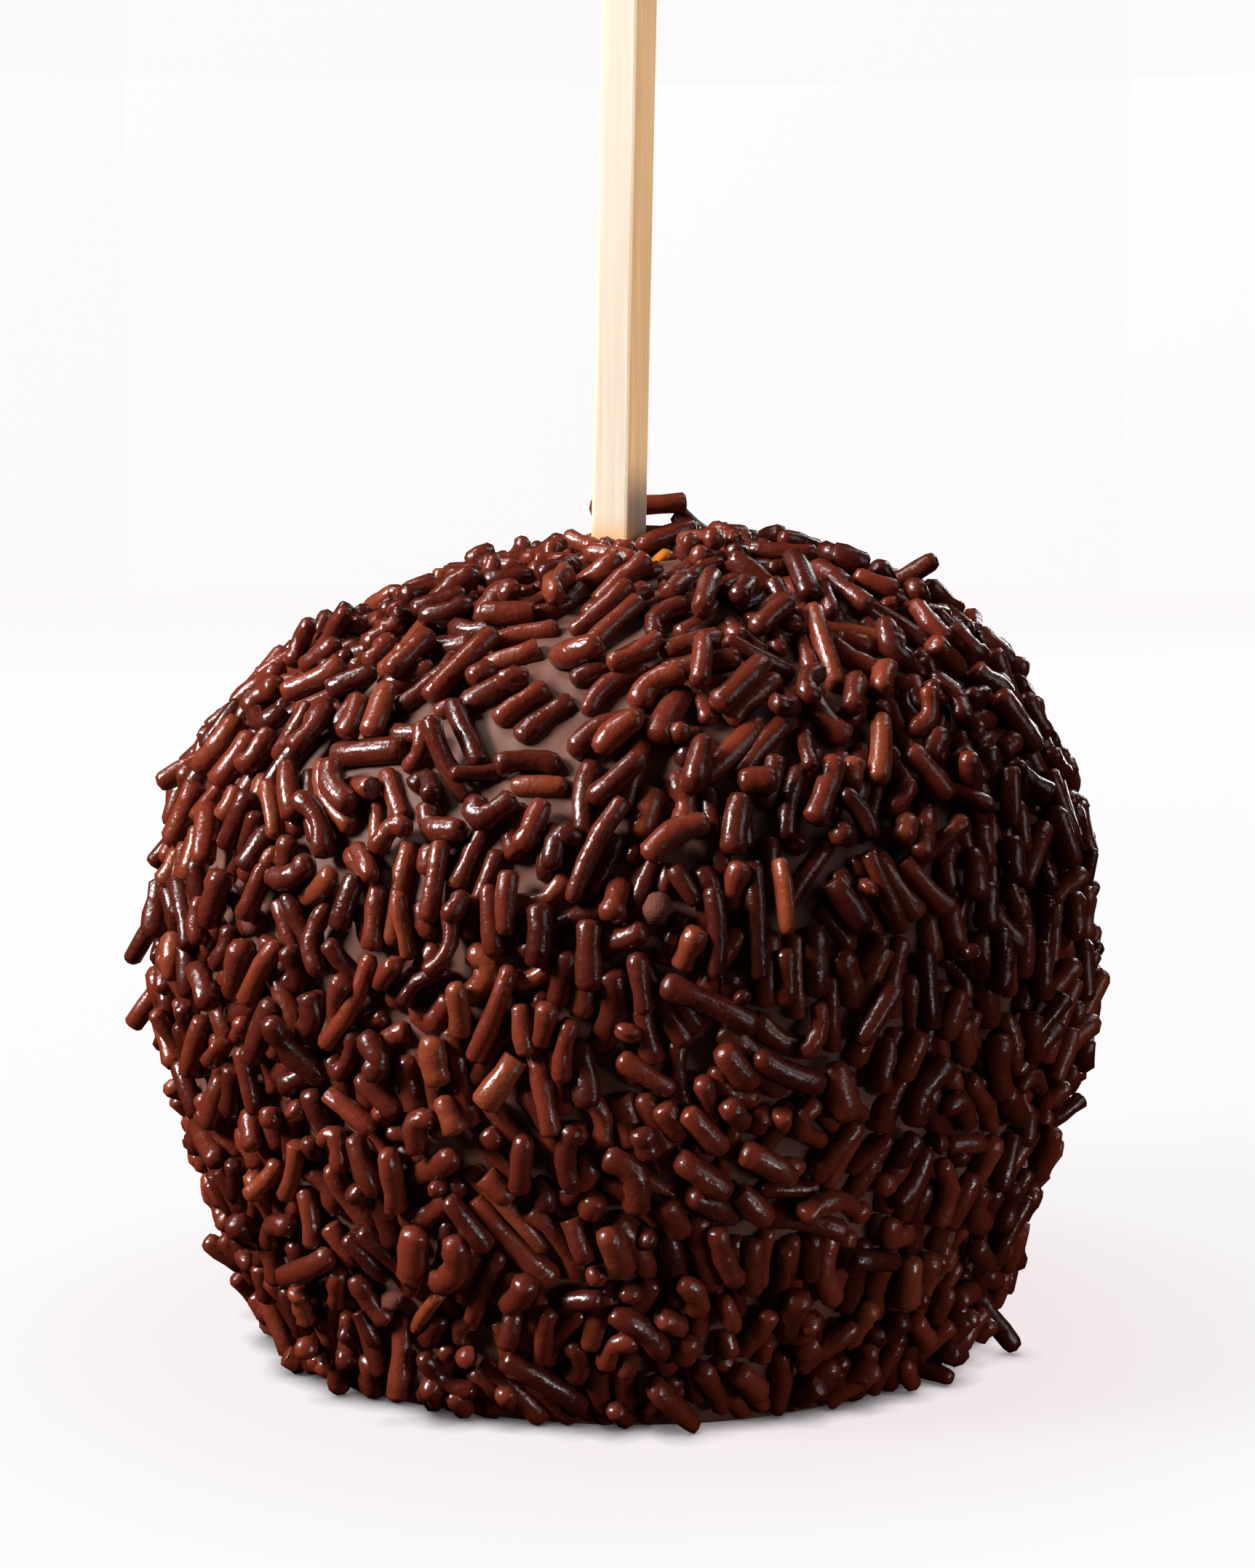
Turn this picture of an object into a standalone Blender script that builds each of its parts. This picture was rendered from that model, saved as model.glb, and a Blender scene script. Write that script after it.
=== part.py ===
"""A caramel and chocolate dipped apple on a wooden stick, rolled in chocolate sprinkles.

Metres, +Z up. The origin is the centre of the flat foot that the fruit settled on as its coat set,
and -Y is the side that faces the viewer.
"""
import math

import bmesh
import bpy
import numpy as np
from mathutils import Matrix

MM = 0.001

# The coat of milk chocolate: a squat, broad-shouldered round that stands on a wide foot.
COAT_RADIUS = 42.9 * MM      # at the waist, the widest ring
WAIST_HEIGHT = 38.8 * MM
CROWN_RISE = 36.2 * MM       # from the waist to the top
UNDER_DROP = 62.0 * MM       # of the underside's full curve, which the foot cuts short
SHOULDER_POWER = 2.30        # 2 is an ellipse, and more is squarer
UNDER_POWER = 1.74
SLANT = 0.11                 # the shoulder at +X stands higher than the one at -X
FLARE = 5.0 * MM             # how far the coat spread, most to either side, as it set on its foot
FLARE_FADE = 4.0 * MM        # and how fast that dies away upwards
RIBS = 5                     # the fruit's own soft ribs, which show through the coat
RIB_DEPTH = 0.007
WAVE_HEIGHT = 0.25 * MM      # slow unevenness of the dipped coat
WAVE_LENGTH = 34 * MM
COAT_FACES_ROUND = 34
COAT_FACES_UP = 20
FACET_SWELL = 1.005          # puts the faces, and not their corners, on the true surface
HEART = np.array((0, 0, WAIST_HEIGHT))

# The stick: square birch with rounded edges, pushed down the core.
STICK_SIDE = 4.2 * MM
STICK_EDGE = 0.55 * MM       # radius of its long edges
STICK_END = 0.25 * MM        # and of its cut ends
STICK_LENGTH = 140 * MM
STICK_SUNK = 52 * MM
STICK_TURN = math.radians(-26)
STICK_LEAN = math.radians(1.16)
STICK_X = -0.5 * MM          # where its axis leaves the fruit
CROWN_HEIGHT = WAIST_HEIGHT + CROWN_RISE

# The pool of caramel that the chocolate left bare round the stick.
POOL_RADIUS = 7.6 * MM
POOL_RIM_DROP = 0.4 * MM     # of its level, below the coat's top
POOL_DEPTH = 1.8 * MM        # below that level
POOL_DISH = ((0, 0), (0.6, 0), (0.9, 0.43), (1, 1))   # shares of the radius and of the depth
POOL_CLIMB = 2.4 * MM        # how far it creeps up the stick
POOL_FADE = 1.1 * MM         # how fast that creep dies away from the stick
POOL_RINGS = 6
POOL_FACES_ROUND = 28
GAP = 0.3 * MM               # between neighbours that touch

# Sprinkles. This source fuses on the largest, and they are laid in this order.
SEED = 71
SPRINKLE_COUNT = 276
SPREAD_BAND = 0.985          # of the waist's height, above and below it, that they are spread over
SPREAD_JITTER = 0.06         # radians, round the fruit
SPRINKLE_RADIUS = (0.82 * MM, 1.05 * MM)
SPRINKLE_HALF = (2.4 * MM, 3.6 * MM)   # from the middle to where an end starts to round
SPRINKLE_SIDES = 5
SINK = 0.5 * MM              # how deep one sits in the coat
LEANING_SINK = 0.3 * MM      # and how much deeper one that stands on its end is set
TOUCH = 1.8                  # radii between the centre lines of two that cross, a little pressed together
BALLS = 7                    # a sprinkle is measured as this many balls in a row
LEAST_BOW = 0.16             # of its half length, under which it stays straight
MOST_RISE = 2.3 * MM         # of a middle above the coat, over which one would lie on too big a pile
HEADING_SPREAD = 32          # degrees, either way from the usual heading
LEANING_SHARE = 0.12         # of them all, which stick up by LEAN_RANGE
LEAN_RANGE = (12, 32)        # degrees
BOW_SPREAD = 0.12            # of the half length
GOLDEN_ANGLE = math.pi * (3 - math.sqrt(5))

# Sprinkles that break the outline: azimuth, height, heading, lean, half length and bow.
# A heading of 90 points up the coat, and the lean lifts that end clear of it.
STANDING_OUT = (
    (184, 34.0, -88, 39, 4.3, 0.2),
    (186, 41.0, -84, 30, 4.7, 1.2),
    (189, 55.0, -78, 34, 3.6, 0.2),
    (190, 48.5, -80, 30, 2.8, 0.3),
    (187, 70.5, -90, 30, 2.5, 0.1),
    (200, 71.3, 90, 62, 1.5, 0.0),
    (222, 72.2, 80, 62, 1.5, 0.0),
    (232, 73.6, 90, 62, 1.6, 0.0),
    (350, 71.5, -90, 60, 2.6, 0.1),
    (350, 65.5, -90, 12, 2.4, 0.2),
    (350, 61.0, -70, 45, 1.3, 0.0),
    (349, 44.5, -60, 52, 1.4, 0.0),
    (349, 38.0, 60, 55, 1.4, 0.0),
    (195, 9.0, 90, 24, 3.0, 0.4),
    (213, 3.4, -90, 8, 2.0, 0.0),
    (237, 6.5, -90, 32, 3.5, 0.1),
    (262, 9.5, 60, 6, 3.4, 0.3),
    (343, 2.8, -90, 55, 3.2, 0.0),
    (325, 1.2, -90, 100, 1.6, 0.0),
    (95, 44.0, 85, 26, 3.4, 0.3),
    (56, 74.4, 10, 38, 4.0, 0.0),
    (88, 74.0, 170, 62, 2.7, 0.0),
    (80, 74.4, -24, 1, 4.4, 0.1),
)


def coat_reach(rays):
    """Distance from the fruit's heart to its coat along unit rays, the last axis being x, y, z."""
    x, y, z = np.moveaxis(rays, -1, 0)
    across = np.hypot(x, y)
    power = np.where(z > 0, SHOULDER_POWER, UNDER_POWER)
    half = np.where(z > 0, CROWN_RISE, UNDER_DROP)
    reach = ((across / COAT_RADIUS) ** power + (np.abs(z) / half) ** power) ** (-1 / power)
    reach = reach * (1 + SLANT * x * np.clip(z, 0, 1) ** 2)
    reach = reach * (1 + RIB_DEPTH * np.cos(RIBS * np.arctan2(y, x) + 0.6) * across ** 2)
    turns = 2 * math.pi / WAVE_LENGTH * reach
    wave = np.sin(turns * x + 1.3) * np.sin(turns * y + 0.4) + np.sin(turns * z + 2.1 * x)
    reach = reach + WAVE_HEIGHT * wave * across
    height = np.maximum(WAIST_HEIGHT + reach * z, 0)
    return reach + FLARE * np.hypot(x, 0.2) * np.exp(-height / FLARE_FADE)


def clearance(points):
    """How far points lie outside the coat, measured from the fruit's heart."""
    arms = points - HEART
    lengths = np.linalg.norm(arms, axis=-1)
    return lengths - coat_reach(arms / lengths[..., None])


def clearance_slopes(points, step=0.05 * MM):
    """The gradient of clearance at points, which runs along the coat's outward normal."""
    steps = step * np.eye(3)
    rises = [clearance(points + one) - clearance(points - one) for one in steps]
    return np.stack(rises, -1) / (2 * step)


def coat_spot(azimuth, height):
    """The coat's point at an azimuth and a height, and its normal. The ray's slope is found by halving."""
    round_z = np.array((math.cos(azimuth), math.sin(azimuth), 0))
    low, high = -0.5 * math.pi, 0.5 * math.pi
    for _ in range(30):
        middle = (low + high) / 2
        ray = math.cos(middle) * round_z + np.array((0, 0, math.sin(middle)))
        point = HEART + ray * coat_reach(ray)
        low, high = (middle, high) if point[2] < height else (low, middle)
    slopes = clearance_slopes(point)
    return point, slopes / np.linalg.norm(slopes)


def side_step(along, half, bow):
    """How far a bowed sprinkle's centre line is off its chord, at distances along it."""
    return bow * (1 - (along / half) ** 2)


def least_tilt(along, needed):
    """The tilt nearest to level of the line that clears all needed heights and is lowest at the middle."""
    middle = BALLS // 2
    back, front = along[:middle], along[middle + 1:]
    low_back, low_front = needed[:middle], needed[middle + 1:]
    spans = (low_back[:, None] * front - low_front * back[:, None]) / (front - back[:, None])
    height = max(spans.max(), needed[middle])
    least = ((low_front - height) / front).max()
    most = ((height - low_back) / -back).min()
    return math.atan(np.clip(0, least, most))


class SprinkleBed:
    """The sprinkles laid so far, and where the next one comes to rest."""

    def __init__(self):
        self.centres = np.empty((0, 3))
        self.balls = np.empty((0, BALLS, 3))
        self.rows = []

    def needed(self, line, normal, radius):
        """How far along normal each ball on a line must move to lie on the coat and on its neighbours."""
        steepness = np.linalg.norm(clearance_slopes(line), axis=-1)
        needed = radius - SINK - clearance(line) / steepness
        reach = np.linalg.norm(line[-1] - line[0]) + 6 * radius
        near = np.linalg.norm(self.centres - line[BALLS // 2], axis=1) < reach
        if near.any():
            offsets = self.balls[near].reshape(-1, 3) - line[:, None]
            rise = offsets @ normal
            room = (TOUCH * radius) ** 2 - (offsets ** 2).sum(-1) + rise ** 2
            over = np.where(room > 0, rise + np.sqrt(np.maximum(room, 0)), -1)
            needed = np.maximum(needed, over.max(axis=1))
        return needed

    def lay(self, spot, normal, heading, lean, half, radius, bow, most_rise=math.inf):
        """Lays one sprinkle over spot and keeps its row, unless it lies too high or reaches into the pool."""
        east = np.cross((0, 0, 1), normal)
        east /= np.linalg.norm(east)
        ahead = math.cos(heading) * east + math.sin(heading) * np.cross(normal, east)
        aside = np.cross(normal, ahead)
        along = np.linspace(-half, half, BALLS)
        bowed = side_step(along, half, bow)[:, None] * aside
        level = spot + along[:, None] * ahead + bowed
        tilt = lean or least_tilt(along, self.needed(level, normal, radius))
        axis = math.cos(tilt) * ahead + math.sin(tilt) * normal
        line = spot + along[:, None] * axis + bowed
        rise = self.needed(line, normal, radius).max() - (LEANING_SINK if lean else 0)
        centre = spot + rise * normal
        balls = centre + along[:, None] * axis + bowed
        lift = np.array((0, 0, max(0.0, radius - balls[:, 2].min())))
        from_stick = np.hypot(balls[:, 0] - STICK_X, balls[:, 1]).min()
        if from_stick < POOL_RADIUS + radius + GAP or rise > most_rise:
            return
        self.centres = np.vstack((self.centres, centre + lift))
        self.balls = np.concatenate((self.balls, (balls + lift)[None]))
        self.rows.append((centre + lift, axis, aside, half, radius, bow))


def usual_heading(spot):
    """The way that most lie at a spot: up the coat, but slanting on the upper front and right."""
    azimuth = math.atan2(spot[1], spot[0])
    rise = np.clip((spot[2] - 36 * MM) / (24 * MM), 0, 1)
    return math.radians(90 - rise * (62 * math.sin(azimuth) ** 2 - 45 * max(0, math.cos(azimuth))))


def lay_largest(bed, rng):
    """The sprinkles that break the outline, and then the rest of the largest, evenly spread."""
    for azimuth, height, heading, lean, half, bow in STANDING_OUT:
        spot, normal = coat_spot(math.radians(azimuth), height * MM)
        radius = rng.uniform(*SPRINKLE_RADIUS)
        bed.lay(spot, normal, math.radians(heading), math.radians(lean), half * MM, radius, bow * MM)
    spread = SPRINKLE_COUNT - len(STANDING_OUT)
    for number in range(spread):
        askew = math.radians(rng.normal(0, HEADING_SPREAD))
        lean = math.radians(rng.uniform(*LEAN_RANGE)) if rng.random() < LEANING_SHARE else 0
        half = rng.uniform(*SPRINKLE_HALF)
        radius = rng.uniform(*SPRINKLE_RADIUS)
        share = 1 - 2 * (number + 0.5) / spread
        height = WAIST_HEIGHT * (1 + SPREAD_BAND * share)
        height = max(height, half * abs(math.cos(askew)) + radius)
        spot, normal = coat_spot(number * GOLDEN_ANGLE + rng.normal(0, SPREAD_JITTER), height)
        heading = usual_heading(spot) + askew
        bed.lay(spot, normal, heading, lean, half, radius, rng.normal(0, BOW_SPREAD) * half, MOST_RISE)


def material(name, colour, roughness):
    """A Principled material. The colour is an sRGB hex number."""
    made = bpy.data.materials.new(name)
    made.use_nodes = True
    shader = made.node_tree.nodes["Principled BSDF"]
    channels = [(colour >> shift & 255) / 255 for shift in (16, 8, 0)]
    linear = [c / 12.92 if c <= 0.04045 else ((c + 0.055) / 1.055) ** 2.4 for c in channels]
    shader.inputs["Base Color"].default_value = (*linear, 1)
    shader.inputs["Roughness"].default_value = roughness
    shader.inputs["Metallic"].default_value = 0
    made.diffuse_color = (*linear, 1)
    return made


def new_object(name, bm, finish=None):
    """Links what bm holds as an object, shaded smooth but for its edges."""
    mesh = bpy.data.meshes.new(name)
    bmesh.ops.recalc_face_normals(bm, faces=bm.faces)
    bm.to_mesh(mesh)
    bm.free()
    mesh.shade_smooth()
    mesh.set_sharp_from_angle(angle=math.radians(40))
    made = bpy.data.objects.new(name, mesh)
    if finish:
        mesh.materials.append(finish)
    bpy.context.scene.collection.objects.link(made)
    return made


def apply_boolean(body, operation, cutter=None, group=None):
    """Cuts a cutter from body, or joins a collection to it, then removes what was used up."""
    used = [cutter] if cutter else list(group.objects)
    change = body.modifiers.new("change", "BOOLEAN")
    change.operation = operation
    change.solver = "EXACT"
    if cutter:
        change.object = cutter
    else:
        change.operand_type = "COLLECTION"
        change.collection = group
    evaluated = body.evaluated_get(bpy.context.evaluated_depsgraph_get())
    mesh = bpy.data.meshes.new_from_object(evaluated)
    body.modifiers.clear()
    body.data = mesh
    for other in used:
        bpy.data.objects.remove(other)


def keep_outer_shell(body):
    """Drops loose scraps, and fills hollows that fusing sealed, by keeping only the largest shell."""
    bm = bmesh.new()
    bm.from_mesh(body.data)
    unseen = set(bm.faces)
    shells = []
    while unseen:
        shell, edge = set(), [unseen.pop()]
        while edge:
            face = edge.pop()
            shell.add(face)
            linked = {other for side in face.edges for other in side.link_faces} & unseen
            unseen -= linked
            edge.extend(linked)
        shells.append(shell)
    largest = max(shells, key=len)
    spare = [face for shell in shells if shell is not largest for face in shell]
    bmesh.ops.delete(bm, geom=spare, context="FACES")
    bm.to_mesh(body.data)
    bm.free()


def stick_form(bm, grown=0.0):
    """The stick where it stands. grown widens it on all sides, for the hole that it leaves."""
    bmesh.ops.create_cube(bm, size=1)
    side = STICK_SIDE + 2 * grown
    bmesh.ops.scale(bm, vec=(side, side, STICK_LENGTH + 2 * grown), verts=bm.verts)
    upright = [e for e in bm.edges if abs(e.verts[0].co.z - e.verts[1].co.z) > side]
    bmesh.ops.bevel(
        bm, geom=upright, offset=STICK_EDGE + grown, affect="EDGES", segments=3, profile=0.5, material=-1
    )
    ends = [e for e in bm.edges if abs(e.verts[0].co.z - e.verts[1].co.z) < GAP]
    if not grown:
        bmesh.ops.bevel(bm, geom=ends, offset=STICK_END, affect="EDGES", segments=1, profile=0.5, material=-1)
    bmesh.ops.translate(bm, vec=(0, 0, STICK_LENGTH / 2 - STICK_SUNK), verts=bm.verts)
    stand = Matrix.Translation((STICK_X, 0, CROWN_HEIGHT))
    stand = stand @ Matrix.Rotation(STICK_LEAN, 4, "Y") @ Matrix.Rotation(STICK_TURN, 4, "Z")
    bmesh.ops.transform(bm, matrix=stand, verts=bm.verts)


def pool_form(bm, grown=0.0):
    """The pool of caramel, turned round the stick's axis. grown gives the open dish that holds it."""
    level = CROWN_HEIGHT - POOL_RIM_DROP
    floor = level - POOL_DEPTH - grown
    edge = POOL_RADIUS + grown
    top = level + POOL_CLIMB
    profile = [(share * edge, floor + rise * POOL_DEPTH) for share, rise in POOL_DISH]
    if grown:
        profile.append((edge, top))
    else:
        inner = STICK_SIDE / 2
        for reach in np.linspace(POOL_RADIUS, inner, POOL_RINGS + 1)[1:]:
            profile.append((reach, level + POOL_CLIMB * math.exp((inner - reach) / POOL_FADE)))
    profile.append((0, top))
    points = [bm.verts.new((reach, 0, height)) for reach, height in profile]
    sides = [bm.edges.new(pair) for pair in zip(points, points[1:])]
    bmesh.ops.spin(
        bm, geom=points + sides, cent=(0, 0, 0), axis=(0, 0, 1), angle=2 * math.pi,
        steps=POOL_FACES_ROUND, use_merge=True,
    )
    bmesh.ops.remove_doubles(bm, verts=bm.verts, dist=0.01 * MM)
    bmesh.ops.translate(bm, vec=(STICK_X, 0, 0), verts=bm.verts)


def coat_form(bm):
    """A round of faces pushed out to the coat's surface and cut flat at the foot."""
    bmesh.ops.create_uvsphere(bm, u_segments=COAT_FACES_ROUND, v_segments=COAT_FACES_UP, radius=1)
    for vertex in bm.verts:
        ray = np.array(vertex.co.normalized())
        vertex.co = HEART + ray * coat_reach(ray) * FACET_SWELL
    everything = bm.verts[:] + bm.edges[:] + bm.faces[:]
    cut = bmesh.ops.bisect_plane(
        bm, geom=everything, plane_co=(0, 0, 0), plane_no=(0, 0, -1), clear_outer=True
    )
    rim = [part for part in cut["geom_cut"] if isinstance(part, bmesh.types.BMEdge)]
    bmesh.ops.edgeloop_fill(bm, edges=rim)


def sprinkle_form(bm, row):
    """One sprinkle: a five-sided rod with blunt ends, bent in the middle where it is bowed."""
    centre, axis, aside, half, radius, bow = row
    bmesh.ops.create_cone(
        bm, cap_ends=True, segments=SPRINKLE_SIDES, radius1=radius, radius2=radius, depth=2 * half
    )
    caps = [face for face in bm.faces if abs(face.normal.z) > 0.5]
    tips = bmesh.ops.poke(bm, faces=caps)["verts"]
    for tip in tips:
        tip.co.z += math.copysign(0.8 * radius, tip.co.z)
    if abs(bow) > LEAST_BOW * half:
        sides = [e for e in bm.edges if abs(e.verts[0].co.z - e.verts[1].co.z) > half]
        bmesh.ops.subdivide_edges(bm, edges=sides, cuts=1)
    up = np.cross(axis, aside)
    for vertex in bm.verts:
        across, rise, along = vertex.co
        step = across + side_step(min(abs(along), half), half, bow)
        vertex.co = centre + along * axis + step * aside + rise * up


def build():
    """Makes the three pieces: the coated fruit with its sprinkles, the caramel and the stick."""
    for old in list(bpy.data.objects):
        bpy.data.objects.remove(old)

    bm = bmesh.new()
    coat_form(bm)
    coat = new_object("coated_apple", bm, material("milk chocolate", 0x6B4034, 0.4))

    bed = SprinkleBed()
    lay_largest(bed, np.random.default_rng(SEED))
    group = bpy.data.collections.new("sprinkles")
    bpy.context.scene.collection.children.link(group)
    for number, row in enumerate(bed.rows):
        bm = bmesh.new()
        sprinkle_form(bm, row)
        sprinkle = new_object(f"sprinkle_{number}", bm)
        bpy.context.scene.collection.objects.unlink(sprinkle)
        group.objects.link(sprinkle)
    apply_boolean(coat, "UNION", group=group)
    bpy.data.collections.remove(group)

    for form in (pool_form, stick_form):
        bm = bmesh.new()
        form(bm, grown=GAP)
        apply_boolean(coat, "DIFFERENCE", cutter=new_object("hole", bm))
    keep_outer_shell(coat)

    bm = bmesh.new()
    pool_form(bm)
    pool = new_object("caramel_pool", bm, material("caramel", 0x9A4A10, 0.2))
    bm = bmesh.new()
    stick_form(bm, grown=GAP)
    apply_boolean(pool, "DIFFERENCE", cutter=new_object("hole", bm))

    bm = bmesh.new()
    stick_form(bm)
    new_object("wooden_stick", bm, material("birch wood", 0xEED3A8, 0.6))


build()
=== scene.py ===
"""A caramel and chocolate dipped apple on a wooden stick, rolled in chocolate sprinkles.

Metres, +Z up. The fruit stands on the origin, and -Y faces the viewer.
"""
import math

import bmesh
import bpy
import numpy as np
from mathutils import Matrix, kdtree


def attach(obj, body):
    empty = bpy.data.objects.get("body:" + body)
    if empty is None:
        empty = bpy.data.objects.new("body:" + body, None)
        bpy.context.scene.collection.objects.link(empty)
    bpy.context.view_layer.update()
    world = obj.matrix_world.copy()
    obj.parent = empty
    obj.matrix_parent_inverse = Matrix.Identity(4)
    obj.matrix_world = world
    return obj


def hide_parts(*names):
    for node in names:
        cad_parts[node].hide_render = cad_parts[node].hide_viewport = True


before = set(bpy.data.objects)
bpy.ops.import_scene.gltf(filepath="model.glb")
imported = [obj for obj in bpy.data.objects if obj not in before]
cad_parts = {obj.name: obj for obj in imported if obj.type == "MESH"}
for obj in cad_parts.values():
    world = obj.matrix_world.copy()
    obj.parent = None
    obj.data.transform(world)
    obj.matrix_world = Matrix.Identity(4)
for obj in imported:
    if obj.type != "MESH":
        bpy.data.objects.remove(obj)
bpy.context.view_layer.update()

# ---------------------------------------------------------------- the fruit in its milk chocolate
# A whole apple, dipped in caramel and then in milk chocolate, and stood on its end to set, which
# gave it a flat foot. The coat is about 3 mm thick over the fruit's own soft ribs, satin where bare.
MM = 0.001
COAT_RADIUS = 42.9 * MM      # at the waist, the widest ring
WAIST_HEIGHT = 38.8 * MM
CROWN_RISE = 36.2 * MM       # from the waist to the top
UNDER_DROP = 62.0 * MM       # of the underside's full curve, which the foot cuts short
SHOULDER_POWER = 2.30        # 2 is an ellipse, and more is squarer
UNDER_POWER = 1.74
SLANT = 0.11                 # the shoulder at +X stands higher than the one at -X
FLARE = 5.0 * MM             # how far the coat spread, most to either side, as it set on its foot
FLARE_FADE = 4.0 * MM        # and how fast that dies away upwards
RIBS = 5
RIB_DEPTH = 0.007
WAVE_HEIGHT = 0.25 * MM      # slow unevenness of the dipped coat
WAVE_LENGTH = 34 * MM
COAT_PHASES = (0.6, 1.3, 0.4, 2.1)   # where the ribs and the three waves start, in radians
FLARE_SHARE = 0.2            # of the flare, that the front and the back have too
HEART = np.array((0, 0, WAIST_HEIGHT))
CROWN_HEIGHT = WAIST_HEIGHT + CROWN_RISE
COAT_SPLITS = 7              # which makes its triangles 0.7 mm wide


def coat_reach(rays):
    """Distance from the fruit's heart to its coat along unit rays, the last axis being x, y, z."""
    x, y, z = np.moveaxis(rays, -1, 0)
    rib, first, second, third = COAT_PHASES
    across = np.hypot(x, y)
    power = np.where(z > 0, SHOULDER_POWER, UNDER_POWER)
    half = np.where(z > 0, CROWN_RISE, UNDER_DROP)
    reach = ((across / COAT_RADIUS) ** power + (np.abs(z) / half) ** power) ** (-1 / power)
    reach = reach * (1 + SLANT * x * np.clip(z, 0, 1) ** 2)
    reach = reach * (1 + RIB_DEPTH * np.cos(RIBS * np.arctan2(y, x) + rib) * across ** 2)
    turns = 2 * math.pi / WAVE_LENGTH * reach
    wave = np.sin(turns * x + first) * np.sin(turns * y + second) + np.sin(turns * z + third * x)
    reach = reach + WAVE_HEIGHT * wave * across
    height = np.maximum(WAIST_HEIGHT + reach * z, 0)
    return reach + FLARE * np.hypot(x, FLARE_SHARE) * np.exp(-height / FLARE_FADE)


def clearance(points):
    """How far points lie outside the coat, measured from the fruit's heart."""
    arms = points - HEART
    lengths = np.linalg.norm(arms, axis=-1)
    return lengths - coat_reach(arms / lengths[..., None])


def clearance_slopes(points, step=0.05 * MM):
    """The gradient of clearance at points, which runs along the coat's outward normal."""
    steps = step * np.eye(3)
    around = points[..., None, :] + np.concatenate((steps, -steps))
    rises = clearance(around)
    return (rises[..., :3] - rises[..., 3:]) / (2 * step)


def unit(vectors):
    """The vectors at length 1."""
    return vectors / np.linalg.norm(vectors, axis=-1, keepdims=True)


def new_piece(name, bm, finish):
    """A smooth-shaded object from bm, which rides on the one body."""
    mesh = bpy.data.meshes.new(name)
    bm.to_mesh(mesh)
    bm.free()
    mesh.shade_smooth()
    mesh.materials.append(finish)
    piece = bpy.data.objects.new(name, mesh)
    bpy.context.scene.collection.objects.link(piece)
    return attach(piece, "root")


def linear(colour):
    """An sRGB hex colour as linear RGBA."""
    channels = [(colour >> shift & 255) / 255 for shift in (16, 8, 0)]
    return (*[c / 12.92 if c <= 0.04045 else ((c + 0.055) / 1.055) ** 2.4 for c in channels], 1)


def add(material, kind, inputs, **settings):
    """Adds a shader node. An input is given a value, or the socket that feeds it."""
    node = material.node_tree.nodes.new("ShaderNode" + kind)
    for name, value in settings.items():
        setattr(node, name, value)
    for name, value in inputs.items():
        if isinstance(value, bpy.types.NodeSocket):
            material.node_tree.links.new(value, node.inputs[name])
        else:
            node.inputs[name].default_value = value
    return node


def new_finish(name):
    """An empty material, its shader and its Object coordinates."""
    finish = bpy.data.materials.new(name)
    finish.use_nodes = True
    shader = finish.node_tree.nodes["Principled BSDF"]
    return finish, shader, add(finish, "TexCoord", {}).outputs["Object"]


def milk_chocolate():
    """Milk chocolate, dipped and set: satin, a little cloudy, with faint flow marks."""
    finish, shader, place = new_finish("milk chocolate, dipped and set satin")
    cloud = add(finish, "TexNoise", {"Vector": place, "Scale": 1 / (9 * MM), "Detail": 3})
    tint = add(finish, "ValToRGB", {"Fac": cloud.outputs["Fac"]})
    tint.color_ramp.elements[0].position = 0.35
    tint.color_ramp.elements[0].color = linear(0x523228)
    tint.color_ramp.elements[1].position = 0.7
    tint.color_ramp.elements[1].color = linear(0x664236)
    grain = add(finish, "TexNoise", {"Vector": place, "Scale": 1 / (0.7 * MM), "Detail": 4})
    bump = add(finish, "Bump", {"Height": grain.outputs["Fac"], "Strength": 0.25, "Distance": 0.05 * MM})
    links = finish.node_tree.links
    links.new(tint.outputs["Color"], shader.inputs["Base Color"])
    links.new(bump.outputs["Normal"], shader.inputs["Normal"])
    shader.inputs["Roughness"].default_value = 0.6
    shader.inputs["Specular IOR Level"].default_value = 0.2
    return finish


bm = bmesh.new()
bmesh.ops.create_icosphere(bm, subdivisions=COAT_SPLITS, radius=1)
rays = np.array([vertex.co for vertex in bm.verts])
for vertex, point in zip(bm.verts, HEART + rays * coat_reach(unit(rays))[:, None]):
    vertex.co = point
everything = bm.verts[:] + bm.edges[:] + bm.faces[:]
cut = bmesh.ops.bisect_plane(bm, geom=everything, plane_co=(0, 0, 0), plane_no=(0, 0, -1), clear_outer=True)
rim = [part for part in cut["geom_cut"] if isinstance(part, bmesh.types.BMEdge)]
bmesh.ops.edgeloop_fill(bm, edges=rim)
bmesh.ops.recalc_face_normals(bm, faces=bm.faces)
coat = new_piece("chocolate_coat", bm, milk_chocolate())
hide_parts("coated_apple")

# ---------------------------------------------------------------- the caramel round the stick
# The chocolate stopped short of the stick and left the caramel bare in a shallow pool, which crept
# up the wood a little. It is boiled sugar and cream: clear amber, glossy, with soft edges.
STICK_X = -0.5 * MM          # where the stick's axis leaves the fruit
STICK_SIDE = 4.2 * MM
POOL_RADIUS = 7.6 * MM
POOL_RIM_DROP = 0.4 * MM
POOL_DEPTH = 1.8 * MM
POOL_DISH = ((0.3, 0), (0.6, 0), (0.9, 0.43), (1, 1))
POOL_CLIMB = 2.4 * MM
POOL_FADE = 1.1 * MM
POOL_RINGS = 16
POOL_SIDES = 72
LUMP_X, LUMP_Y = 4.0 * MM, -5.0 * MM   # a lump of it, which is what shows between the sprinkles
LUMP_HEIGHT = 1.7 * MM
LUMP_WIDTH = 1.4 * MM


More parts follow.
